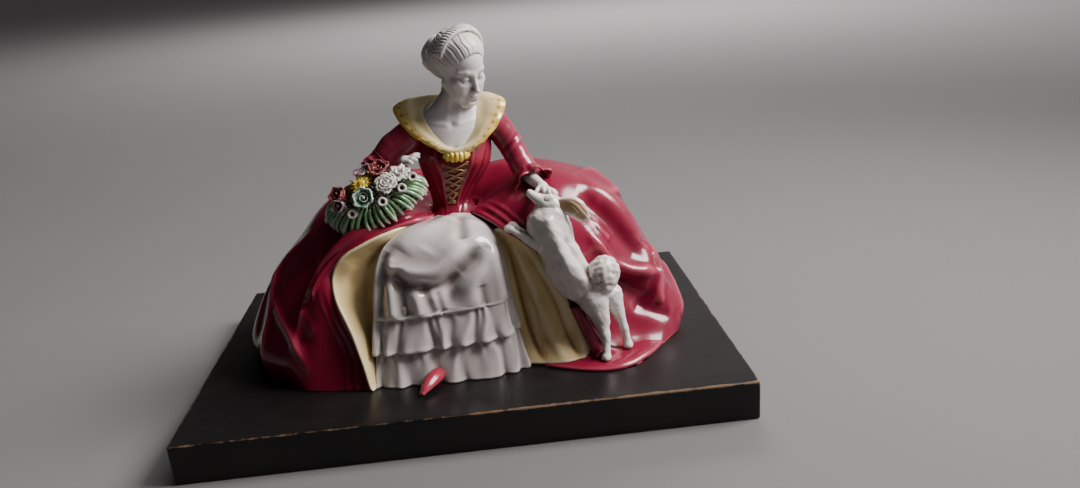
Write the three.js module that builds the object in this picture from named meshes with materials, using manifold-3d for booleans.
// A glazed ceramic lady in a wide crimson gown, seated with a basket of flowers on her lap
// and a small dog standing against her knee, on a black wooden plinth.
// Millimetres, +Z up, +X to the lady's left, the lady faces -Y.
// The origin is the centre of the plinth's underside.

import * as THREE from "three";
import { mergeVertices } from "three/addons/utils/BufferGeometryUtils.js";
import Module from "manifold-3d";

const wasm = await Module();
wasm.setup();

// Driving dimensions
const PLINTH = { width: 300, depth: 202, thickness: 22, chamfer: 1.2 };
const GAP = 0.3; // between two pieces that touch
const GOWN_WALL = 3;
const GOWN_EDGE = 2.2; // the thinner lip along the open front
const GOWN_FOLD = 3.6; // how far a fold stands out of the gown
const LINING_WALL = 2;
const PETTICOAT_WALL = 2.4;
const FLOUNCE_FLUTE = 1.3; // how far a flute stands out of a flounce
const COLLAR_WALL = 1.6;
const LACE_RADIUS = 0.7;
const CUFF_WALL = 1.4;
const FRILL_DEPTH = 1.3; // how far a cuff's frill waves in and out
const HEAD_WIDTH = 28;
const DOG_LEG_RADIUS = 2.8;
const EAR_WALL = 1.8;
const LEAF_RADIUS = 1.25;
const TUBE_FLOWER = { radius: 3, bore: 1.2, length: 8 };

// Colours of the glazes and of the plinth's paint
const glaze = (color, roughness = 0.12) =>
  new THREE.MeshStandardMaterial({ color, roughness, metalness: 0 });
const GLAZE = {
  crimson: glaze(0x7d0f1f),
  cream: glaze(0xe3cf9a),
  white: glaze(0xe9e4de, 0.2),
  skin: glaze(0xeee7e2, 0.25),
  yellow: glaze(0xd8b224),
  gold: glaze(0xb98a3a),
  green: glaze(0x4c8a56),
  paleGreen: glaze(0xa9c3ae),
  rose: glaze(0x8e2f38),
  mauve: glaze(0x8d6f80),
  blossom: glaze(0xe6dccf),
  basket: glaze(0x4a4434, 0.35),
  dogCoat: glaze(0xeae4dc, 0.35),
};
const BLACK_PAINT = new THREE.MeshStandardMaterial({ color: 0x17171a, roughness: 0.4, metalness: 0 });

// Small helpers for points and curves
const V = (x, y, z) => new THREE.Vector3(x, y, z);
const mix = (a, b, t) => a + (b - a) * t;
const clamp01 = (t) => Math.min(1, Math.max(0, t));
const ease = (a, b, t) => {
  const s = clamp01((t - a) / (b - a));
  return s * s * (3 - 2 * s);
};

// A smooth curve through points, from the first at t = 0 to the last at t = 1
function through(points, t) {
  const last = points.length - 1;
  const s = clamp01(t) * last;
  const i = Math.min(Math.floor(s), last - 1);
  const f = s - i;
  const [a, b, c, d] = [i - 1, i, i + 1, i + 2].map((k) => points[Math.min(last, Math.max(0, k))]);
  const blend = (k) =>
    0.5 *
    (2 * b[k] + (c[k] - a[k]) * f + (2 * a[k] - 5 * b[k] + 4 * c[k] - d[k]) * f * f +
      (3 * b[k] - a[k] - 3 * c[k] + d[k]) * f * f * f);
  return b.isVector3 ? V(blend("x"), blend("y"), blend("z")) : b.map((_, k) => blend(k));
}

// The point at u across ribs and v along them
const across = (ribs, u, v) => through(ribs.map((rib) => through(rib, v)), u);

// A grid of points, [column][row]
const gridOf = (columns, rows, point) =>
  Array.from({ length: columns + 1 }, (_, i) =>
    Array.from({ length: rows + 1 }, (_, j) => point(i / columns, j / rows)),
  );

// Outward normals of a grid of points; a closed grid's last column repeats its first
function normalsOf(grid, closed = false) {
  const last = grid.length - 1;
  return grid.map((column, i) =>
    column.map((_, j) => {
      const before = closed && i === 0 ? grid[last - 1][j] : grid[Math.max(i - 1, 0)][j];
      const after = closed && i === last ? grid[1][j] : grid[Math.min(i + 1, last)][j];
      const up = grid[i][Math.max(j - 1, 0)];
      const down = grid[i][Math.min(j + 1, column.length - 1)];
      const n = after.clone().sub(before).cross(up.clone().sub(down));
      return n.normalize();
    }),
  );
}

const offset = (grid, normals, distance) =>
  grid.map((column, i) => column.map((p, j) => p.clone().addScaledVector(normals[i][j], distance)));

// Solids
function solidOf(geometry) {
  const bare = geometry.index ? geometry.toNonIndexed() : geometry.clone();
  bare.deleteAttribute("normal");
  bare.deleteAttribute("uv");
  const merged = mergeVertices(bare, 1e-4);
  const mesh = new wasm.Mesh({
    numProp: 3,
    vertProperties: merged.attributes.position.array,
    triVerts: new Uint32Array(merged.index.array),
  });
  const solid = new wasm.Manifold(mesh);
  if (solid.volume() >= 0) return solid;
  const flipped = new Uint32Array(merged.index.array);
  for (let i = 0; i < flipped.length; i += 3)
    [flipped[i + 1], flipped[i + 2]] = [flipped[i + 2], flipped[i + 1]];
  return new wasm.Manifold(
    new wasm.Mesh({ numProp: 3, vertProperties: merged.attributes.position.array, triVerts: flipped }),
  );
}

// A solid as a geometry
function geometryFrom(solid) {
  const { numProp, numVert, vertProperties, triVerts } = solid.getMesh();
  const positions = new Float32Array(numVert * 3);
  for (let i = 0; i < numVert; i++)
    positions.set(vertProperties.subarray(i * numProp, i * numProp + 3), i * 3);
  const geometry = new THREE.BufferGeometry();
  geometry.setAttribute("position", new THREE.BufferAttribute(positions, 3));
  return geometry.setIndex(new THREE.BufferAttribute(triVerts, 1));
}

const join = (...solids) => solids.flat().reduce((a, b) => a.add(b));

// A solid cut by others, with the crumbs that a cut can leave thrown away
function carve(solid, ...cutters) {
  const cut = cutters.flat(Infinity).reduce((a, b) => a.subtract(b), solid);
  return cut.decompose().reduce((a, b) => (b.volume() > a.volume() ? b : a));
}

// What is left of a solid above the plinth
const grounded = (solid, grow = 0) =>
  solid.subtract(solidOf(new THREE.BoxGeometry(400, 400, 20).translate(0, 0, -10 - grow)));

// A triangle list as a geometry
function geometryOf(triangles) {
  const geometry = new THREE.BufferGeometry();
  const values = triangles.flatMap((p) => [p.x, p.y, p.z]);
  return geometry.setAttribute("position", new THREE.Float32BufferAttribute(values, 3));
}

// A wall between an outer and an inner grid, closed round its edges
function wall(outer, inner, closed = false) {
  const triangles = [];
  const quad = (a, b, c, d) => triangles.push(a, b, c, a, c, d);
  const m = outer.length - 1;
  const n = outer[0].length - 1;
  for (let i = 0; i < m; i++) {
    const k = closed && i === m - 1 ? 0 : i + 1;
    for (let j = 0; j < n; j++) {
      quad(outer[i][j], outer[i][j + 1], outer[k][j + 1], outer[k][j]);
      quad(inner[i][j], inner[k][j], inner[k][j + 1], inner[i][j + 1]);
    }
    quad(outer[i][0], outer[k][0], inner[k][0], inner[i][0]);
    quad(outer[i][n], inner[i][n], inner[k][n], outer[k][n]);
  }
  if (!closed)
    for (let j = 0; j < n; j++) {
      quad(outer[0][j], inner[0][j], inner[0][j + 1], outer[0][j + 1]);
      quad(outer[m][j], outer[m][j + 1], inner[m][j + 1], inner[m][j]);
    }
  return solidOf(geometryOf(triangles));
}

// A grid whose free edges reach further out along the surface
function widened(grid, distance, closed = false) {
  if (!distance) return grid;
  const reach = (p, q) => p.clone().add(p.clone().sub(q).normalize().multiplyScalar(distance));
  const tall = grid.map((c) => [reach(c[0], c[1]), ...c.slice(1, -1), reach(c.at(-1), c.at(-2))]);
  if (closed) return tall;
  const side = (column, next) => column.map((p, j) => reach(p, next[j]));
  return [side(tall[0], tall[1]), ...tall.slice(1, -1), side(tall.at(-1), tall.at(-2))];
}

// A grid thickened to a wall that reaches out and in from it, and grown all round
function sheet(grid, out, inward, grow = 0, closed = false) {
  const normals = normalsOf(grid, closed);
  const side = (distance) => widened(offset(grid, normals, distance), grow, closed);
  return wall(side(out + grow), side(-inward - grow), closed);
}

// A solid skinned over rings of points, closed with a point at each end
function skin(rings) {
  const triangles = [];
  const sides = rings[0].length;
  const middle = (ring) => ring.reduce((a, p) => a.add(p), V(0, 0, 0)).divideScalar(sides);
  const first = middle(rings[0]);
  const last = middle(rings.at(-1));
  for (let i = 0; i < sides; i++) {
    const k = (i + 1) % sides;
    triangles.push(first, rings[0][k], rings[0][i]);
    triangles.push(last, rings.at(-1)[i], rings.at(-1)[k]);
    for (let j = 0; j + 1 < rings.length; j++) {
      triangles.push(rings[j][i], rings[j][k], rings[j + 1][k]);
      triangles.push(rings[j][i], rings[j + 1][k], rings[j + 1][i]);
    }
  }
  return solidOf(geometryOf(triangles));
}

// Upright oval rings, each given as [x, y, z, half width, half depth]
function ovals(levels, grow = 0, sides = 20, steps = 1) {
  const count = (levels.length - 1) * steps;
  const rings = Array.from({ length: count + 1 }, (_, s) => {
    const [x, y, z, rx, ry] = through(levels, s / count);
    const lift = s === 0 ? -grow : s === count ? grow : 0;
    return Array.from({ length: sides }, (_, i) => {
      const a = (2 * Math.PI * i) / sides;
      return V(x + (rx + grow) * Math.cos(a), y + (ry + grow) * Math.sin(a), z + lift);
    });
  });
  return skin(rings);
}

// A limb along points, with a radius at each and round ends
function limb(points, radii, grow = 0, sides = 10, steps = 2, caps = 2) {
  const count = (points.length - 1) * steps;
  const at = (t) => through(points, t);
  const radius = (t) => through(radii.map((r) => [r]), t)[0] + grow;
  const rings = [];
  let side = V(0, 0, 1);
  const ring = (centre, along, r) => {
    side = side.clone().addScaledVector(along, -side.dot(along));
    if (side.length() < 1e-3) side = V(1, 0, 0).addScaledVector(along, -along.x);
    side.normalize();
    const other = along.clone().cross(side);
    rings.push(
      Array.from({ length: sides }, (_, i) => {
        const a = (2 * Math.PI * i) / sides;
        const beside = other.clone().multiplyScalar(r * Math.sin(a));
        return centre.clone().addScaledVector(side, r * Math.cos(a)).add(beside);
      }),
    );
  };
  const direction = (t) => at(Math.min(1, t + 0.01)).sub(at(Math.max(0, t - 0.01))).normalize();
  const cap = caps === 2 ? [72, 36] : [50];
  for (const degrees of cap) {
    const a = THREE.MathUtils.degToRad(degrees);
    ring(
      at(0).addScaledVector(direction(0), -radius(0) * Math.sin(a)), direction(0),
      radius(0) * Math.cos(a),
    );
  }
  for (let s = 0; s <= count; s++) ring(at(s / count), direction(s / count), radius(s / count));
  for (const degrees of [...cap].reverse()) {
    const a = THREE.MathUtils.degToRad(degrees);
    ring(
      at(1).addScaledVector(direction(1), radius(1) * Math.sin(a)), direction(1),
      radius(1) * Math.cos(a),
    );
  }
  return skin(rings);
}

// A ball stretched to half sizes, turned, then moved to its centre
function ball(centre, half, grow = 0, turn = [0, 0, 0], width = 12, height = 8) {
  const geometry = new THREE.SphereGeometry(1, width, height).rotateX(Math.PI / 2);
  geometry.scale(half[0] + grow, half[1] + grow, half[2] + grow);
  const [x, y, z] = turn.map(THREE.MathUtils.degToRad);
  geometry.applyMatrix4(new THREE.Matrix4().makeRotationFromEuler(new THREE.Euler(x, y, z, "ZYX")));
  return solidOf(geometry.translate(...centre));
}

// The plinth
function plinth() {
  const { width, depth, thickness, chamfer } = PLINTH;
  const x = width / 2 - chamfer;
  const y = depth / 2 - chamfer;
  const outline = new THREE.Shape([
    new THREE.Vector2(-x, -y),
    new THREE.Vector2(x, -y),
    new THREE.Vector2(x, y),
    new THREE.Vector2(-x, y),
  ]);
  const board = new THREE.ExtrudeGeometry(outline, {
    depth: thickness - 2 * chamfer,
    bevelThickness: chamfer,
    bevelSize: chamfer,
    bevelSegments: 1,
  });
  return solidOf(board.translate(0, 0, chamfer));
}

// The gown: ribs run from the waist to the hem, from the open front's edge on the lady's left,
// round her back, to the edge on her right
const WAIST_HEIGHT = 81;
// How a rib falls, as [share of its reach, share of its crest]
const FALL = {
  back: [[0.35, 0.985], [0.62, 0.92], [0.82, 0.66], [0.935, 0.37], [0.99, 0.13], [1, 0]],
  left: [[0.34, 0.99], [0.55, 0.96], [0.72, 0.8], [0.83, 0.58], [0.92, 0.34], [1, 0.12], [0.995, 0]],
  right: [
    [0.33, 0.985], [0.5, 0.975], [0.62, 0.87], [0.74, 0.69], [0.87, 0.5], [0.95, 0.31], [1, 0.14],
    [0.985, 0],
  ],
};
function gownRib(azimuth, reach, crest, fall) {
  const a = THREE.MathUtils.degToRad(azimuth);
  const [along, deep] = [Math.cos(a), Math.sin(a)];
  return [[0.12, WAIST_HEIGHT / crest], ...fall].map(([r, z]) => {
    const radius = Math.max(r * reach, 14);
    return V(radius * along, radius * deep, z * crest);
  });
}
const GOWN_RIBS = [
  [
    V(11, -15, 80), V(21, -30, 78), V(30.3, -40, 73), V(40.4, -43, 65), V(50.3, -46, 53),
    V(58, -50, 34.5), V(68.5, -54, 12),
  ],
  [
    V(13, -11, 81), V(30, -26, 84), V(46, -36, 76), V(58, -42, 60), V(67, -45, 38), V(73, -49, 14),
    V(77, -58, 4), V(78, -70, 0),
  ],
  [
    V(15, -6, 81), V(40, -18, 91), V(62, -28, 84), V(77, -34, 64), V(86, -36, 40), V(92, -39, 18),
    V(96, -47, 6), V(99, -62, 0),
  ],
  gownRib(-10, 127, 96, FALL.left),
  gownRib(10, 131, 98, FALL.left),
  gownRib(35, 116, 98, FALL.left),
  gownRib(62, 92, 96, FALL.back),
  gownRib(90, 82, 94, FALL.back),
  gownRib(118, 91, 96, FALL.back),
  gownRib(145, 112, 97, FALL.right),
  gownRib(170, 125, 96, FALL.right),
  gownRib(190, 122, 93, FALL.right),
  gownRib(206, 112, 89, FALL.right),
  [
    V(-13, -11, 81), V(-30, -25, 86), V(-48, -36, 84), V(-63, -43, 76), V(-74, -48, 62),
    V(-79, -53, 44), V(-80, -58, 24), V(-80, -61, 0),
  ],
  [
    V(-11, -15, 80), V(-20, -28, 82), V(-36, -35, 80), V(-49, -40, 75.5), V(-61, -41, 69),
    V(-67, -41, 58), V(-65.5, -48, 46), V(-60, -55, 29), V(-54.5, -60, 15), V(-54, -65, 0),
  ],
];
// Folds as [azimuth, half width, share of the full height], in degrees
const GOWN_FOLDS = [
  [-36, 5, 0.5], [-14, 8, 1.3], [20, 12, 1.5], [45, 8, 1], [66, 8, 1], [88, 8, 1], [110, 8, 1],
  [132, 8, 1], [152, 8, 1], [170, 7, 1], [184, 6, 1], [198, 6, 0.9], [212, 5, 0.6],
];
function foldHeight(point, v) {
  let azimuth = THREE.MathUtils.radToDeg(Math.atan2(point.y, point.x));
  if (azimuth < -75) azimuth += 360;
  const ridges = GOWN_FOLDS.reduce((sum, [centre, half, share]) => {
    const d = (azimuth - centre) / half;
    return sum + share * Math.exp(-d * d);
  }, 0);
  return GOWN_FOLD * (ridges - 0.45) * ease(0.3, 0.8, v);
}
// Folds swept over a surface, as [points across and down its ribs, half width, height]
const sweptOver = (ribs, folds) =>
  folds.map(([line, width, height]) => ({
    chain: line.map(([u, v]) => across(ribs, u, v)),
    width,
    height,
  }));
function sweptHeight(point, folds) {
  const nearest = new THREE.Vector3();
  const gapTo = (from, to) =>
    new THREE.Line3(from, to).closestPointToPoint(point, true, nearest).distanceTo(point);
  return folds.reduce((sum, { chain, width, height }) => {
    const gap = Math.min(...chain.slice(1).map((end, i) => gapTo(chain[i], end)));
    return sum + height * Math.exp(-((gap / width) ** 2));
  }, 0);
}
const GOWN_SWEEPS = sweptOver(GOWN_RIBS, [
  [[[0.182, 0.31], [0.184, 0.44], [0.19, 0.54], [0.199, 0.65]], 8, -3.8],
  [[[0.137, 0.417], [0.145, 0.504], [0.173, 0.608], [0.208, 0.7]], 5, 2.8],
  [[[0.122, 0.51], [0.14, 0.575], [0.172, 0.708], [0.182, 0.768]], 7, -2.8],
  [[[0.262, 0.72], [0.24, 0.8], [0.208, 0.921]], 6, 2.2],
  [[[0.2, 0.33], [0.22, 0.45], [0.226, 0.6]], 9, 2.6],
  [[[0.29, 0.34], [0.268, 0.39], [0.252, 0.46]], 11, 3.4],
  [[[0.27, 0.56], [0.238, 0.582], [0.215, 0.6]], 6, -2],
  [[[0.222, 0.64], [0.24, 0.7]], 9, 2.2],
  [[[0.775, 0.43], [0.763, 0.56], [0.808, 0.69], [0.82, 0.9]], 5, 2.2],
  [[[0.83, 0.44], [0.875, 0.57], [0.935, 0.68]], 5, 1.8],
  [[[0.86, 0.55], [0.9, 0.76], [0.91, 0.88]], 6, -2],
  [[[0.3, 0.45], [0.315, 0.6], [0.3, 0.74], [0.315, 0.9]], 6, 2],
  [[[0.42, 0.42], [0.405, 0.58], [0.42, 0.74], [0.4, 0.9]], 6, 2],
  [[[0.56, 0.42], [0.575, 0.6], [0.56, 0.78], [0.575, 0.92]], 6, 2],
  [[[0.7, 0.42], [0.69, 0.6], [0.705, 0.8], [0.7, 0.93]], 5, 2],
]);
function gown(grow = 0, columns = 64, rows = 13) {
  const base = gridOf(columns, rows, (u, v) => across(GOWN_RIBS, u, v));
  const normals = normalsOf(base);
  const inside = (i) => ease(0, 0.06, i / columns) * ease(0, 0.06, 1 - i / columns);
  const lifts = base.map((column, i) =>
    column.map((p, j) => inside(i) * (foldHeight(p, j / rows) + sweptHeight(p, GOWN_SWEEPS))),
  );
  const settle = (grid) =>
    widened(grid, grow).map((column) => column.map(
      (p, j) => V(p.x, p.y, j === rows ? -grow : Math.max(p.z, -grow)),
    ));
  const outer = base.map((column, i) =>
    column.map((p, j) => p.clone().addScaledVector(normals[i][j], lifts[i][j] + grow)),
  );
  const inner = base.map((column, i) => {
    const depth = mix(GOWN_EDGE, GOWN_WALL + 0.45 * GOWN_FOLD, inside(i)) + grow;
    return column.map((p, j) => {
      const below = Math.max(0, -lifts[i][j] - GOWN_FOLD / 2);
      return p.clone().addScaledVector(normals[i][j], -depth - below);
    });
  });
  return wall(settle(outer), settle(inner));
}

// Clear room along the gown's lips and the front of its hem
function gownLips(grow) {
  const radius = 0.5 * GOWN_EDGE + grow;
  const lips = [GOWN_RIBS[0], GOWN_RIBS.at(-1)].map((rib) => rib.map((p) => p.clone()));
  const hem = [0.02, 0.05, 0.08, 0.11].map((u) => across(GOWN_RIBS, u, 1));
  return [...lips, hem].map((line) => limb(line, line.map(() => radius), 0, 8, 2, 1));
}

// The strip of train that lies under the lining's lifted corner
const TRAIN_HEIGHT = 2.6;
function train(grow = 0) {
  const edge = [
    V(43, -60, 0), V(59, -69, 0), V(73, -73, 0), V(88, -70.5, 0), V(104, -57, 0), V(110, -44, 0),
    V(98, -46, 0), V(82, -50, 0), V(62, -52, 0), V(46, -54, 0),
  ];
  const points = new THREE.CatmullRomCurve3(edge, true).getPoints(28).slice(0, -1);
  const outline = new THREE.Shape(points.map((p) => new THREE.Vector2(p.x, p.y)));
  const bevel = 0.8;
  const slab = new THREE.ExtrudeGeometry(outline, {
    depth: TRAIN_HEIGHT - bevel + grow,
    bevelThickness: bevel,
    bevelSize: bevel + grow,
    bevelOffset: -bevel,
    bevelSegments: 1,
  });
  return grounded(solidOf(slab), grow);
}

// The cream lining that shows inside the open front
const RIGHT_LINING = [
  [
    V(-12, -17, 79), V(-34, -36, 78.5), V(-47, -40, 74), V(-59, -41, 67), V(-64.5, -41, 57),
    V(-63, -48, 45), V(-58, -55, 28), V(-53, -62, 0),
  ],
  [
    V(-12, -16, 77), V(-33, -34, 75.5), V(-46, -37, 69.5), V(-54, -37, 61), V(-57, -37, 51),
    V(-57, -43, 38), V(-54, -50, 22), V(-51, -60, 0),
  ],
  [
    V(-11, -14, 76), V(-24, -26, 73), V(-35, -30, 66), V(-43, -33, 56), V(-45, -36, 46),
    V(-46, -41, 34), V(-47, -47, 20), V(-48, -56, 0),
  ],
];
const LEFT_LINING = [
  [V(22, -31, 72), V(25, -35, 60), V(26, -38, 47), V(28, -41, 32), V(32, -46, 16), V(38, -52, 0.5)],
  [V(24, -33, 73), V(32, -37, 62), V(36, -40, 47), V(41, -44, 31), V(46, -50, 15), V(50, -57, 3)],
  [V(26, -35, 73.5), V(37, -41, 64), V(46, -46, 50), V(53, -50, 33), V(58, -54, 17), V(61, -58, 5)],
  [
    V(29, -38.5, 73), V(39.5, -42, 64.5), V(49.5, -45, 52.5), V(57, -49, 34), V(63, -52, 21),
    V(68, -54.5, 11),
  ],
];
const lining = (ribs, grow = 0) =>
  grounded(
    sheet(gridOf(5, 8, (u, v) => across(ribs, u, v)), LINING_WALL / 2, LINING_WALL / 2, grow), grow,
  );

// The petticoat: a panel that drapes over the knees, and two flounces below it
const PETTICOAT_PANEL = [
  [
    V(-9, -15, 78), V(-24, -30, 75), V(-36, -37, 67), V(-44, -41, 60), V(-46.5, -46, 50),
    V(-47, -50, 36),
  ],
  [
    V(-4, -17, 79), V(-16, -35, 78), V(-27, -44, 71.5), V(-32, -50, 61), V(-33, -54, 48),
    V(-33, -57, 36),
  ],
  [V(0, -17, 80), V(-6, -36, 79), V(-11, -48, 72.5), V(-14, -53, 60), V(-14, -56, 47), V(-14, -58, 37)],
  [V(5, -17, 80), V(5, -35, 78), V(4, -48, 71), V(3, -53, 58), V(3, -55, 47), V(3, -57, 38)],
  [V(9, -16, 79), V(15, -32, 76), V(18, -43, 70), V(19, -49, 58), V(20, -51, 48), V(21, -53, 38)],
  [V(10, -15, 78), V(20, -28, 74), V(24, -36, 67), V(26, -41, 57), V(27, -43, 48), V(28, -45, 39)],
];
// Flounces as rows of points from the lady's right to her left, top row first
const MIDDLE_FLOUNCE = {
  top: [
    V(-46, -46, 41), V(-33, -53, 41), V(-14, -54, 41), V(3, -53, 42), V(20, -50, 43),
    V(27, -42, 43),
  ],
  hem: [
    V(-49, -52, 18), V(-35, -59, 18), V(-15, -60, 19), V(4, -60, 20), V(22, -57, 21),
    V(29, -49, 22),
  ],
  flutes: 9,
};
const BOTTOM_FLOUNCE = {
  top: [
    V(-47, -48, 24), V(-34, -55, 24), V(-15, -56, 25), V(4, -56, 26), V(22, -53, 27),
    V(29, -46, 27),
  ],
  hem: [V(-49, -58, 0), V(-35, -64, 0), V(-15, -64, 0), V(6, -65, 0), V(27, -62, 0), V(40, -56, 0)],
  flutes: 8,
};
const PANEL_SWEEPS = sweptOver(PETTICOAT_PANEL, [
  [[[0.1, 0.53], [0.2, 0.6], [0.3, 0.654], [0.4, 0.675], [0.52, 0.65]], 4.4, -2],
  [[[0.1, 0.5], [0.31, 0.55], [0.52, 0.43], [0.66, 0.33]], 5.5, 2],
  [[[0.74, 0.43], [0.64, 0.53], [0.57, 0.62], [0.52, 0.74], [0.5, 0.95]], 5.2, -2.4],
  [[[0.8, 0.46], [0.72, 0.6], [0.66, 0.75], [0.64, 1]], 5, 1.4],
  [[[0.19, 0.6], [0.225, 0.76], [0.24, 1]], 4, -1.8],
]);
function panel(grow = 0) {
  const base = gridOf(22, 14, (u, v) => across(PETTICOAT_PANEL, u, v));
  const normals = normalsOf(base);
  const draped = base.map((column, i) =>
    column.map((p, j) => p.clone().addScaledVector(normals[i][j], sweptHeight(p, PANEL_SWEEPS))),
  );
  return sheet(draped, 0, PETTICOAT_WALL, grow);
}
function flounce({ top, hem, flutes }, grow = 0) {
  const columns = flutes * 4;
  const grid = gridOf(columns, 1, (u, v) => {
    const point = through(top, u).lerp(through(hem, u), v);
    const flute = 0.5 - 0.5 * Math.cos(2 * Math.PI * flutes * u);
    point.y -= FLOUNCE_FLUTE * flute * v;
    return point;
  });
  return grounded(sheet(grid, 0, PETTICOAT_WALL, grow), grow);
}

// The pointed shoe
const SHOE = {
  points: [V(-14, -58, 7), V(-17, -65, 6.2), V(-21, -73, 4.2), V(-24, -79, 2.2)],
  radii: [5, 4.6, 3.4, 1.5],
};
const shoe = (grow = 0) => grounded(limb(SHOE.points, SHOE.radii, grow), grow);

// The bodice, from the waist to under the collar
const BODICE = [
  [0, -2, 76, 10.5, 9], [0, -1, 84, 11.5, 9.5], [1.5, -1, 93, 15, 11.5], [3.5, -2, 102, 19, 13.5],
  [4, -2, 109, 21, 14.5], [4, -0.5, 117, 22, 13], [4, 1, 124, 22, 11], [4, 1.5, 128, 19, 9],
];
const bodice = (grow = 0) => ovals(BODICE, grow);

// Cords crossing on the front of the bodice
const LACING = { top: 108, bottom: 86, crossings: 4 };
function lacing(grow = 0) {
  const front = (x, z) => {
    const level = through(BODICE, levelAt(z));
    const s = clamp01(1 - ((x - level[0]) / level[3]) ** 2);
    return V(x, level[1] - level[4] * Math.sqrt(s) - LACE_RADIUS, z);
  };
  const half = (z) => mix(1.5, 6.5, (z - LACING.bottom) / (LACING.top - LACING.bottom));
  const strand = (first) => {
    const points = Array.from({ length: LACING.crossings * 2 + 1 }, (_, i) => {
      const z = mix(LACING.top, LACING.bottom, i / (LACING.crossings * 2));
      const swing = Math.cos((Math.PI * i) / 2) * first;
      const middle = through(BODICE, levelAt(z))[0];
      return front(middle + swing * half(z), z);
    });
    return limb(points, points.map(() => LACE_RADIUS), grow, 4, 1, 1);
  };
  return join(strand(1), strand(-1));
}
const levelAt = (z) => {
  const k = BODICE.findIndex((level) => level[2] > z);
  const [low, high] = [BODICE[k - 1][2], BODICE[k][2]];
  return (k - 1 + (z - low) / (high - low)) / (BODICE.length - 1);
};

// The gathered bow at the neckline
const BOW = { centre: [5.5, -18.5, 112.5], half: [6.5, 2.2, 3], folds: 5 };
function bow(grow = 0) {
  const [x, y, z] = BOW.centre;
  const [a, b, c] = BOW.half;
  const count = BOW.folds * 2;
  const rings = Array.from({ length: count + 1 }, (_, i) => {
    const u = (2 * i) / count - 1;
    const swell = (i % 2 ? 1 : 0.72) * (1 - 0.3 * u * u);
    return Array.from({ length: 8 }, (_, k) => {
      const s = (2 * Math.PI * k) / 8;
      const [dy, dz] = [(b * swell + grow) * Math.cos(s), (c * swell + grow) * Math.sin(s)];
      return V(x + (a + grow) * u, y + 0.25 * a * u * u + dy, z + dz);
    });
  });
  return skin(rings);
}

// The wide collar: loops round the shoulders, from the neckline out to the edge
const COLLAR = [
  [
    V(6, 9, 139), V(-4, 7, 139), V(-9, 0, 136), V(-5, -8, 126), V(3, -13.5, 116.5),
    V(7, -14.5, 115.5), V(12, -12, 119), V(17, -7, 127), V(19, 0, 136), V(14, 7, 139),
  ],
  [
    V(5, 12, 141), V(-8, 9, 142), V(-18, 3, 140.5), V(-15, -7, 128), V(-1, -15.5, 117),
    V(6, -17, 115.5), V(16, -14.5, 119), V(24, -7, 129), V(26, 2, 140), V(19, 9, 141),
  ],
  [
    V(4, 15, 135), V(-15, 12, 137.5), V(-27, 3, 138), V(-21, -7.5, 127.5), V(-7.5, -15.5, 118),
    V(6, -18, 113), V(19, -15.5, 118), V(30.5, -8.5, 127.5), V(35, 2, 137.5), V(24, 11, 137.5),
  ],
];
const COLLAR_SIDES = 28;
const loop = (points, t) => {
  const n = points.length;
  const s = t * n;
  const i = Math.floor(s) % n;
  const four = [i + n - 1, i, i + 1, i + 2].map((k) => points[k % n]);
  return through(four, (1 + s - Math.floor(s)) / 3);
};
const collarGrid = (rows) => gridOf(
  COLLAR_SIDES, rows, (u, v) => through(COLLAR.map((l) => loop(l, u)), v),
);
const collar = (grow = 0) => sheet(collarGrid(2), COLLAR_WALL / 2, COLLAR_WALL / 2, grow, true);
// Bare shoulders and neck
const NECK = [
  [4, -5, 108, 8, 7], [4.5, -4, 116, 14, 10], [4.5, -1, 125, 19, 10], [5, 1, 131, 15, 8.5],
  [6, 1, 135, 9.5, 7.5], [6.5, 0, 140, 7.6, 7.2], [8, -1, 147, 7, 7], [9.5, -2, 152, 6.8, 6.8],
];
const neck = (grow = 0) => ovals(NECK, grow, 16);

// The head, in its own frame: +Y towards the face, +Z up, origin at the middle of the skull
const HEAD = { centre: [12.4, -3, 162.6], turn: 218, nod: -20, lean: 4 };
function placedHead(solid) {
  const r = THREE.MathUtils.degToRad;
  const turn = new THREE.Matrix4().makeRotationZ(r(HEAD.turn));
  turn.multiply(new THREE.Matrix4().makeRotationX(r(HEAD.nod)));
  turn.multiply(new THREE.Matrix4().makeRotationY(r(HEAD.lean)));
  turn.setPosition(...HEAD.centre);
  return solidOf(geometryFrom(solid).applyMatrix4(turn));
}
const half = HEAD_WIDTH / 2;
const headShape = (grow = 0) =>
  join(
    ball([0, -1, 0], [half * 0.93, half * 1.1, half * 1.02], grow),
    ball([0, half * 0.3, -half * 0.72], [half * 0.72, half * 0.78, half * 0.98], grow),
    limb(
      [V(0, half * 1.02, -half * 0.1), V(0, half * 1.28, -half * 0.62)], [half * 0.1, half * 0.16],
      grow, 6, 1, 1,
    ),
  );
const hairShape = (grow = 0) =>
  join(
    ball([0, -half * 0.2, half * 0.3], [half * 1.06, half * 1.14, half * 0.98], grow, [12, 0, 0]),
    ball([0, -half * 0.62, -half * 0.1], [half * 0.98, half * 0.82, half * 0.95], grow),
  );
const faceOpening = () =>
  ball([0, half * 1.12, -half * 0.62], [half * 0.86, half * 0.95, half * 1.28], 0, [8, 0, 0], 14, 10);
const chignonShape = (grow = 0) =>
  join(
    ball([0, -half * 1.55, -half * 0.42], [half * 0.6, half * 0.52, half * 0.74], grow),
    ball([0, -half * 1.25, half * 0.1], [half * 0.7, half * 0.4, half * 0.55], grow),
  );
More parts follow.
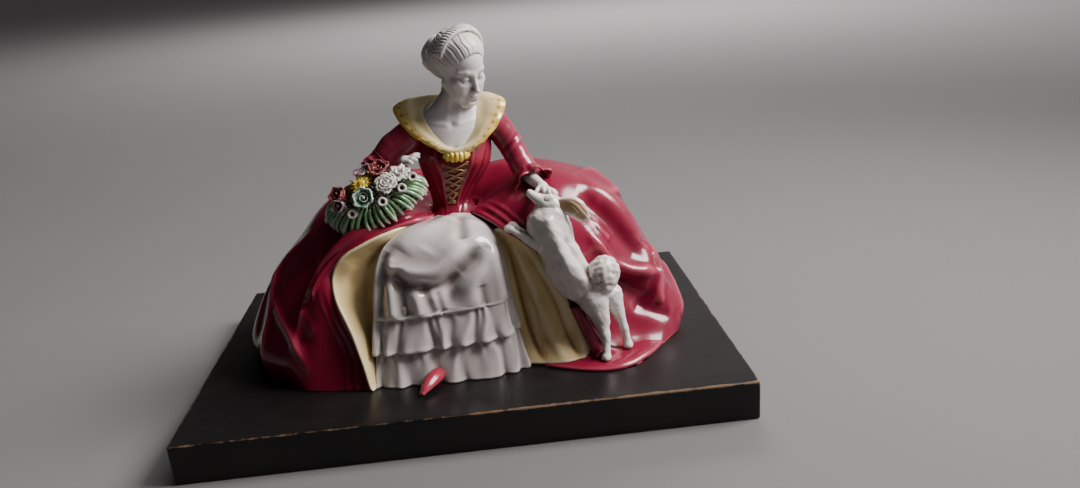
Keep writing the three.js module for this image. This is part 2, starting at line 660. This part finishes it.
// A ribbed comb that stands up across the hair
function combShape(grow = 0) {
  const ribs = 11;
  const radius = half * 1.1;
  const band = gridOf(ribs * 2, 1, (u, v) => {
    const s = THREE.MathUtils.degToRad(mix(-80, 80, u));
    const rise = (u * ribs * 2) % 2 < 0.5 ? 0.5 : 0;
    const r = radius + rise;
    return V(
      r * Math.sin(s) * 0.96, half * (0.12 - 0.42 * v), half * 0.24 + (r - 1.2 * v) * Math.cos(s),
    );
  });
  return sheet(band, 1.1, 1.1, grow);
}

// Arms: a full sleeve to the elbow, a frilled cuff, then the bare forearm and hand
const RIGHT_ARM = {
  sleeve: {
    points: [V(-19, 1, 124), V(-28, 2, 118), V(-36, 1, 112.5), V(-42, -1, 109.5)],
    radii: [8.8, 8.4, 6.8, 5.6],
  },
  cuff: { centre: V(-43, -4.5, 110), axis: V(0.05, -0.9, -0.4), radius: 6.6, length: 5 },
  forearm: {
    points: [V(-42, -5, 109), V(-34, -11, 108.5), V(-27, -14.5, 110)], radii: [3.6, 3.2, 2.7],
  },
  hand: V(-23, -15.7, 112),
  fingers: [V(-15.2, -14.6, 115), V(-15.2, -17, 114.2), V(-16.6, -19.4, 113), V(-19, -21, 111.8)],
  thumb: V(-20, -11.5, 113),
};
const LEFT_ARM = {
  sleeve: {
    points: [V(27, 1, 127), V(34, 1, 117), V(39, -2, 107), V(43, -6, 98)],
    radii: [8.5, 7.6, 7, 7.4],
  },
  cuff: { centre: V(45.6, -9.5, 94.8), axis: V(0.3, -0.85, -0.42), radius: 10.4, length: 8 },
  forearm: { points: [V(44, -9, 96), V(47, -18, 95), V(50, -27, 94)], radii: [4, 3.5, 2.8] },
  hand: V(50.6, -29, 93.4),
  fingers: [V(57.5, -37.5, 90.6), V(55.8, -39.3, 91.2), V(53.4, -40, 91.8), V(50.8, -39.2, 92.4)],
  thumb: V(46.6, -37, 92.6),
};
const sleeve = ({ sleeve: s }, grow = 0) => limb(s.points, s.radii, grow, 12, 2);
function cuff({ cuff: c }, grow = 0) {
  const along = c.axis.clone().normalize();
  const side = V(0, 0, 1).addScaledVector(along, -along.z).normalize();
  const other = along.clone().cross(side);
  const waves = 6;
  const grid = gridOf(waves * 4, 1, (u, v) => {
    const a = 2 * Math.PI * u;
    const r = mix(c.radius * 0.74, c.radius, v) + FRILL_DEPTH * v * Math.cos(waves * a);
    return c.centre.clone().addScaledVector(along, (v - 0.3) * c.length)
      .addScaledVector(side, r * Math.cos(a)).addScaledVector(other, r * Math.sin(a));
  });
  return sheet(grid, CUFF_WALL / 2, CUFF_WALL / 2, grow, true);
}
function hand({ forearm, hand: palm, fingers, thumb }, grow = 0) {
  const wrist = forearm.points.at(-1);
  const knuckle = (tip) => palm.clone().lerp(tip, 0.35);
  const digits = fingers.map((tip) => limb([palm, knuckle(tip), tip], [1.6, 1.5, 1.1], grow, 5, 1, 1));
  return join(
    limb(forearm.points, forearm.radii, grow, 8, 1, 1),
    limb([wrist, palm], [2.8, 3], grow, 8, 1),
    digits,
    limb([wrist.clone().lerp(palm, 0.5), thumb], [1.5, 1.2], grow, 5, 1, 1),
  );
}

// The basket, its fringe of leaves and its flowers
const BASKET = { centre: V(-39.4, -22.3, 95), half: [25.5, 15, 9], tilt: [42, -15, 0] };
const basket = (grow = 0) => ball(BASKET.centre.toArray(), BASKET.half, grow, BASKET.tilt, 18, 8);
function onBasket(x, y, lift = 0) {
  const [a, b, c] = BASKET.half;
  const z = c * Math.sqrt(Math.max(0, 1 - (x / a) ** 2 - (y / b) ** 2)) + lift;
  const r = BASKET.tilt.map(THREE.MathUtils.degToRad);
  return V(x, y, z).applyEuler(new THREE.Euler(...r, "ZYX")).add(BASKET.centre);
}
const LEAVES = { count: 17, from: -194, to: -14, sideSpread: 6, frontSpread: 11 };
function leafFringe(grow = 0) {
  const [a, b] = BASKET.half;
  const rim = (degrees, out, lift) => {
    const s = THREE.MathUtils.degToRad(degrees);
    return onBasket((a + out) * Math.cos(s), (b + out) * Math.sin(s), lift);
  };
  const leaves = Array.from({ length: LEAVES.count }, (_, i) => {
    const s = mix(LEAVES.from, LEAVES.to, i / (LEAVES.count - 1));
    const front = Math.abs(Math.sin(THREE.MathUtils.degToRad(s)));
    const spread = mix(LEAVES.sideSpread, LEAVES.frontSpread, front);
    const points = [rim(s, -3, 1.4), rim(s, 2, 2.8), rim(s, spread, 1.6)];
    return limb(points, [1, 1, 0.7].map((k) => k * LEAF_RADIUS), grow, 4, 1, 1);
  });
  const count = 12;
  const band = Array.from(
    { length: count + 1 }, (_, i) => rim(mix(LEAVES.from, LEAVES.to, i / count), -2, 1.6),
  );
  return join(leaves, limb(band, band.map(() => 1.6), grow, 4, 1, 1));
}
// Flowers as [name, kind, along the basket, across it, radius, glaze]
const FLOWERS = [
  ["pale_rose", "rose", -5.6, -4.6, 6.4, "paleGreen"],
  ["red_rose", "rose", -17.6, 4, 5, "rose"],
  ["brown_rose", "rose", 5.8, 9.4, 4.8, "rose"],
  ["mauve_rose", "rose", -4.6, 12.4, 4.6, "mauve"],
  ["yellow_daisy", "daisy", -6.6, 5, 6, "yellow"],
  ["white_carnation", "rose", 7, 0, 5.4, "blossom"],
  ["white_star", "daisy", 16, 3.4, 5.2, "blossom"],
  ["pink_bud", "rose", -18, -4, 3.6, "mauve"],
];
const TUBE_FLOWERS = [[-13, -9.4], [3.6, -9], [14.6, -4.6], [22, 0.6]];
function rose(x, y, radius, grow = 0) {
  const centre = onBasket(x, y, radius * 0.25);
  const petals = Array.from({ length: 5 }, (_, i) => {
    const a = (2 * Math.PI * i) / 5;
    const [dx, dy] = [Math.cos(a), Math.sin(a)].map((k) => k * radius * 0.45);
    return ball(
      [centre.x + dx, centre.y + dy, centre.z], [radius * 0.55, radius * 0.55, radius * 0.5], grow,
      [0, 0, 0], 6, 4,
    );
  });
  return join(
    petals,
    ball(centre.toArray(), [radius * 0.5, radius * 0.5, radius * 0.72], grow, [0, 0, 0], 6, 4),
  );
}
function daisy(x, y, radius, grow = 0) {
  const centre = onBasket(x, y, 1.4);
  const petals = Array.from({ length: 7 }, (_, i) => {
    const a = (2 * Math.PI * i) / 7;
    const tip = onBasket(x + radius * Math.cos(a), y + radius * Math.sin(a), 2.4);
    return limb([centre, tip], [1.2, 1], grow, 4, 1, 1);
  });
  return join(petals, ball(centre.toArray(), [2.2, 2.2, 2.4], grow, [0, 0, 0], 6, 4));
}
function tubeFlower([x, y], grow = 0) {
  const { radius, bore, length } = TUBE_FLOWER;
  const from = onBasket(x, y, -2);
  const to = onBasket(x * 1.03, y - 3, length - 3);
  const along = to.clone().sub(from).normalize();
  const rim = [
    [0, 0], [radius * 0.7 + grow, 0], [radius * 0.8 + grow, length * 0.6],
    [radius + grow, length + grow],
  ];
  const hole = [[bore, length + grow], [bore * 0.8, length * 0.5], [0, length * 0.5]];
  const outline = grow ? [...rim, [0, length + grow]] : [...rim, ...hole];
  const profile = outline.map(([r, h]) => new THREE.Vector2(r, h));
  const geometry = new THREE.LatheGeometry(profile, 10).rotateX(Math.PI / 2);
  geometry.applyQuaternion(new THREE.Quaternion().setFromUnitVectors(V(0, 0, 1), along));
  return solidOf(geometry.translate(from.x, from.y, from.z));
}

// The dog, standing on its hind legs with its forepaws on her knee
const DOG = {
  trunk: {
    points: [V(69.5, -50, 38.5), V(62, -48.5, 50), V(56.5, -46, 60), V(52.7, -43, 68.7)],
    radii: [9.8, 10, 11, 11.4],
  },
  neck: { points: [V(52.6, -42, 72), V(52.4, -41.5, 78), V(52.4, -41, 82)], radii: [11.4, 10.6, 7.6] },
  head: {
    points: [V(53.2, -40.5, 85.7), V(48.6, -41, 89.4), V(42.4, -41.5, 94.6)],
    radii: [6.4, 4.8, 2.8],
  },
  tail: { centre: [78, -54, 49], half: [8.6, 7.2, 10] },
  nearFore: {
    points: [V(44.8, -48, 70.2), V(37.1, -45.5, 72.3), V(30, -41, 76)], radii: [4.4, 2.6, 2.2],
  },
  farFore: { points: [V(46.4, -41, 71), V(39.4, -41, 73), V(32.6, -37.5, 76.5)], radii: [4, 2.5, 2.2] },
  nearHind: {
    points: [V(71, -53, 36), V(73.8, -57, 25.5), V(75.8, -61, 15.6), V(76, -65, 4.8)],
    radii: [8.8, 5.6, 2.8, 2.6],
  },
  farHind: {
    points: [V(82.5, -48, 34), V(86, -51, 23.2), V(88.4, -52, 14.2), V(90, -54, 5.4)],
    radii: [7, 3.7, 2.7, 2.6],
  },
};
const dogLimb = ({ points, radii }, grow = 0) =>
  limb(points, radii.map((r, i) => (i > 1 ? Math.min(r, DOG_LEG_RADIUS) : r)), grow, 8, 2, 1);
const dogBody = (grow = 0) =>
  join(
    limb(DOG.trunk.points, DOG.trunk.radii, grow, 10, 2),
    limb(DOG.neck.points, DOG.neck.radii, grow, 10, 1),
  );
const dogHead = (grow = 0) => limb(DOG.head.points, DOG.head.radii, grow, 10, 2);
const dogTail = (grow = 0) => ball(DOG.tail.centre, DOG.tail.half, grow, [0, 0, 30], 14, 10);
const NEAR_EAR = [
  [V(56, -42.5, 89.4), V(64.3, -45, 91), V(70.4, -46, 87.3), V(73.6, -46, 79.5)],
  [V(56.8, -44, 87), V(64.9, -47, 86.4), V(69.2, -47.5, 83), V(72.3, -46.5, 77.8)],
  [V(57.4, -44.5, 83.5), V(63.3, -46.5, 81.2), V(67, -46.5, 78.4), V(70.7, -46, 76.7)],
];
const FAR_EAR = [
  [V(54, -34, 87), V(58, -32, 87), V(62, -31.3, 84.5), V(64, -31.8, 81)],
  [V(54.5, -32.5, 83.5), V(58.5, -30.8, 83.5), V(62, -30.5, 81), V(63.5, -31, 78)],
  [V(55, -32, 80.5), V(58, -30.6, 79.5), V(60.5, -30.5, 77.5), V(62, -31, 75.5)],
];
const ear = (ribs, grow = 0) =>
  sheet(gridOf(4, 4, (u, v) => across(ribs, u, v)), EAR_WALL / 2, EAR_WALL / 2, grow);

// Assembly: each piece is cut clear of the pieces that it rests on or passes
const part = new THREE.Group();
const figure = new THREE.Group();
figure.position.z = PLINTH.thickness + GAP;
part.add(figure);

function add(group, name, solid, material) {
  const mesh = new THREE.Mesh(geometryFrom(solid), material);
  mesh.name = name;
  group.add(mesh);
}

add(part, "plinth", plinth(), BLACK_PAINT);

const around = {
  gown: gown(1.6 * GAP),
  train: train(GAP),
  panel: panel(GAP),
  middleFlounce: flounce(MIDDLE_FLOUNCE, GAP),
  bottomFlounce: flounce(BOTTOM_FLOUNCE, GAP),
  leftLining: lining(LEFT_LINING, GAP),
  rightLining: lining(RIGHT_LINING, GAP),
  shoe: shoe(GAP),
  bodice: bodice(GAP),
  collar: collar(GAP),
  bow: bow(GAP),
  neck: neck(GAP),
  head: placedHead(headShape(GAP)),
  hair: placedHead(hairShape(GAP)),
  rightSleeve: sleeve(RIGHT_ARM, GAP),
  leftSleeve: sleeve(LEFT_ARM, GAP),
  rightCuff: cuff(RIGHT_ARM, GAP),
  leftCuff: cuff(LEFT_ARM, GAP),
  rightHand: hand(RIGHT_ARM, GAP),
  leftHand: hand(LEFT_ARM, GAP),
  basket: basket(GAP),
  leaves: leafFringe(GAP),
  dogBody: dogBody(GAP),
  dogHead: dogHead(GAP),
};
const gownRoom = [around.gown, ...gownLips(2 * GAP)];

add(figure, "gown_skirt", carve(gown()), GLAZE.crimson);
add(figure, "gown_train", carve(train(), gownRoom), GLAZE.crimson);
add(figure, "petticoat_panel", carve(panel(), gownRoom), GLAZE.white);
add(
  figure, "petticoat_middle_flounce", carve(flounce(MIDDLE_FLOUNCE), gownRoom, around.panel),
  GLAZE.white,
);
add(
  figure,
  "petticoat_bottom_flounce",
  carve(
    flounce(BOTTOM_FLOUNCE), gownRoom, around.train, around.panel, around.middleFlounce,
    around.shoe,
  ),
  GLAZE.white,
);
const petticoatRoom = [around.panel, around.middleFlounce, around.bottomFlounce];
add(figure, "right_side_lining", carve(lining(RIGHT_LINING), gownRoom, petticoatRoom), GLAZE.cream);
add(
  figure, "left_side_lining", carve(lining(LEFT_LINING), gownRoom, petticoatRoom, around.train),
  GLAZE.cream,
);
const skirts = [gownRoom, around.train, ...petticoatRoom, around.leftLining, around.rightLining];
add(figure, "shoe", carve(shoe()), GLAZE.crimson);

add(figure, "bodice", carve(bodice(), gownRoom, around.panel), GLAZE.crimson);
add(figure, "neck_and_shoulders", carve(neck(), around.bodice, around.head), GLAZE.skin);
add(figure, "collar", carve(collar(), around.bodice, around.neck), GLAZE.cream);
add(figure, "neckline_bow", carve(bow(), around.bodice, around.collar), GLAZE.yellow);
add(figure, "bodice_lacing", carve(lacing(), around.bodice, around.bow, around.collar), GLAZE.gold);
add(figure, "head", carve(placedHead(headShape())), GLAZE.skin);
add(
  figure,
  "hair",
  carve(placedHead(hairShape().subtract(faceOpening())), around.head, around.neck),
  GLAZE.skin,
);
add(
  figure, "chignon", carve(placedHead(chignonShape()), around.hair, around.head, around.neck),
  GLAZE.skin,
);
add(figure, "hair_comb", carve(placedHead(combShape()), around.hair, around.head), GLAZE.skin);

const torso = [around.bodice, around.neck, around.collar];
add(figure, "right_sleeve", carve(sleeve(RIGHT_ARM), torso, gownRoom), GLAZE.crimson);
add(figure, "left_sleeve", carve(sleeve(LEFT_ARM), torso, gownRoom), GLAZE.crimson);
add(figure, "right_cuff", carve(cuff(RIGHT_ARM), around.rightSleeve, gownRoom), GLAZE.crimson);
add(figure, "left_cuff", carve(cuff(LEFT_ARM), around.leftSleeve, gownRoom), GLAZE.crimson);
add(
  figure, "right_hand", carve(hand(RIGHT_ARM), around.rightSleeve, around.rightCuff, gownRoom),
  GLAZE.skin,
);
add(
  figure, "left_hand", carve(hand(LEFT_ARM), around.leftSleeve, around.leftCuff, gownRoom),
  GLAZE.skin,
);

const lap = [gownRoom, around.rightHand, around.rightCuff, around.rightSleeve, around.bodice];
add(figure, "flower_basket", carve(basket(), lap, around.panel), GLAZE.basket);
add(
  figure, "leaf_fringe", carve(leafFringe(), around.basket, lap, around.panel, around.rightLining),
  GLAZE.green,
);
const planted = [];
const plant = (name, make, material) => {
  add(figure, name, carve(make(0), around.basket, around.leaves, lap, planted), material);
  planted.push(make(GAP));
};
TUBE_FLOWERS.forEach((place, i) => plant(
  `tube_flower_${i + 1}`, (grow) => tubeFlower(place, grow), GLAZE.blossom,
));
for (const [name, kind, x, y, radius, colour] of FLOWERS)
  plant(
    name, (grow) => (kind === "rose" ? rose(x, y, radius, grow) : daisy(x, y, radius, grow)),
    GLAZE[colour],
  );

const lady = [...skirts, around.leftHand, around.leftCuff, around.leftSleeve];
const trunk = [around.dogBody, around.dogHead];
add(figure, "dog_body", carve(dogBody(), lady), GLAZE.dogCoat);
add(figure, "dog_head", carve(dogHead(), lady, around.dogBody), GLAZE.dogCoat);
add(figure, "dog_near_ear", carve(ear(NEAR_EAR), lady, trunk), GLAZE.dogCoat);
add(figure, "dog_far_ear", carve(ear(FAR_EAR), lady, trunk), GLAZE.dogCoat);
add(figure, "dog_tail", carve(dogTail(), lady, trunk), GLAZE.dogCoat);
const hinds = [dogLimb(DOG.nearHind, GAP), dogTail(GAP)];
add(figure, "dog_near_foreleg", carve(dogLimb(DOG.nearFore), lady, trunk), GLAZE.dogCoat);
add(
  figure, "dog_far_foreleg", carve(dogLimb(DOG.farFore), lady, trunk, dogLimb(DOG.nearFore, GAP)),
  GLAZE.dogCoat,
);
add(
  figure, "dog_near_hind_leg", carve(dogLimb(DOG.nearHind), lady, trunk, dogTail(GAP)),
  GLAZE.dogCoat,
);
add(figure, "dog_far_hind_leg", carve(dogLimb(DOG.farHind), lady, trunk, hinds), GLAZE.dogCoat);

export default part;
